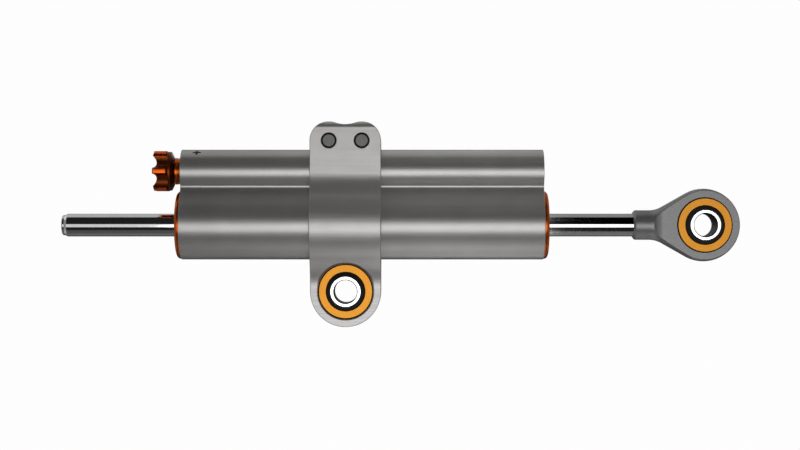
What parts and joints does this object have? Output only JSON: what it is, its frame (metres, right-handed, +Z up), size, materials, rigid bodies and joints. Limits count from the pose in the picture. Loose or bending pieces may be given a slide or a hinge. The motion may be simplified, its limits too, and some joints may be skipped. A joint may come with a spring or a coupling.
{
  "type": "motorcycle steering damper",
  "caption": "Through-rod motorcycle steering damper with a twin-tube barrel, a lobed adjuster knob, a sliding frame clamp with a ball-jointed eye and a ball-jointed rod end.",
  "frame": {"origin": "middle of the ball bore in the frame clamp's eye", "axes": "+X along the piston rod to the rod-end eye, +Y along the bore of the clamp's eye to the back, +Z up from the eye to the barrel"},
  "size_m": [0.2353, 0.0306, 0.0708],
  "materials": {
    "grey_anodising": "satin grey anodising, lightly brushed round the tubes",
    "machined_aluminium": "fine machined and clear anodised",
    "blasted_aluminium": "bead-blasted grey anodising",
    "orange_anodising": "satin orange anodising",
    "gold_anodising": "satin gold anodising",
    "plain_aluminium": "turned",
    "chromed_rod": "hard chromed and polished",
    "polished_steel": "polished",
    "screw_steel": "dark plated",
    "spring_steel": "drawn wire",
    "bronze": "turned",
    "liner": "filled slide lining",
    "seal_rubber": "smooth"
  },
  "bodies": {
    "bracket": {"clamp_bracket": "machined_aluminium", "clamp_screws": "screw_steel", "frame_race": "gold_anodising"},
    "frame_liner": {"frame_liner": "liner"},
    "frame_ball": {"frame_ball": "polished_steel"},
    "barrel": {"barrel": "grey_anodising", "left_cap": "orange_anodising", "right_cap": "orange_anodising", "left_bush": "bronze", "right_bush": "bronze", "left_seal": "seal_rubber", "right_seal": "seal_rubber", "left_wiper": "seal_rubber", "right_wiper": "seal_rubber", "cap_orings": "seal_rubber", "adjuster_bush": "orange_anodising", "bush_oring": "seal_rubber", "stem_oring": "seal_rubber", "click_ball": "polished_steel", "click_spring": "spring_steel", "needle_seat": "bronze", "seat_oring": "seal_rubber", "reservoir_spring": "spring_steel"},
    "knob": {"knob": "orange_anodising", "knob_clip": "spring_steel"},
    "needle": {"needle": "polished_steel"},
    "floating_piston": {"floating_piston": "plain_aluminium", "floating_oring": "seal_rubber"},
    "piston_ring": {"piston_ring": "liner"},
    "rod": {"piston_rod": "chromed_rod", "piston": "plain_aluminium", "piston_clips": "spring_steel", "rod_eye": "blasted_aluminium", "rod_race": "gold_anodising"},
    "rod_liner": {"rod_liner": "liner"},
    "rod_ball": {"rod_ball": "polished_steel"}
  },
  "joints": [
    {"name": "barrel_slide", "type": "slide", "parent": "bracket", "child": "barrel", "axis": [1, 0, 0], "range_m": [-0.05, 0.04]},
    {"name": "rod_slide", "type": "slide", "parent": "barrel", "child": "piston_ring", "axis": [1, 0, 0], "range_m": [-0.029, 0.039]},
    {"name": "rod_spin", "type": "hinge", "parent": "piston_ring", "child": "rod", "pos_m": [0.00075, 0, 0.023], "axis": [1, 0, 0], "continuous": true},
    {"name": "rod_tilt", "type": "hinge", "parent": "rod", "child": "rod_liner", "pos_m": [0.1242, 0, 0.023], "axis": [0, 0, 1], "range_deg": [-12, 12]},
    {"name": "rod_swivel", "type": "hinge", "parent": "rod_liner", "child": "rod_ball", "pos_m": [0.1242, 0, 0.023], "axis": [0, 1, 0], "continuous": true},
    {"name": "frame_tilt", "type": "hinge", "parent": "bracket", "child": "frame_liner", "pos_m": [0, 0, 0], "axis": [0, 0, 1], "range_deg": [-12, 12]},
    {"name": "frame_swivel", "type": "hinge", "parent": "frame_liner", "child": "frame_ball", "pos_m": [0, 0, 0], "axis": [0, 1, 0], "continuous": true},
    {"name": "knob_turn", "type": "hinge", "parent": "barrel", "child": "knob", "pos_m": [-0.0595, 0, 0.0417], "axis": [-1, 0, 0], "range_deg": [0, 540]},
    {"name": "needle_slide", "type": "slide", "parent": "barrel", "child": "needle", "axis": [-1, 0, 0], "range_m": [0, 0.0015]},
    {"name": "reservoir_slide", "type": "slide", "parent": "barrel", "child": "floating_piston", "axis": [1, 0, 0], "range_m": [-0.002, 0.004], "stiffness_N_per_m": 500, "deforming": ["reservoir_spring"]}
  ],
  "couplings": [
    {"joint": "knob_turn", "follows": "needle_slide", "rad_per_m": 6283.2}
  ]
}
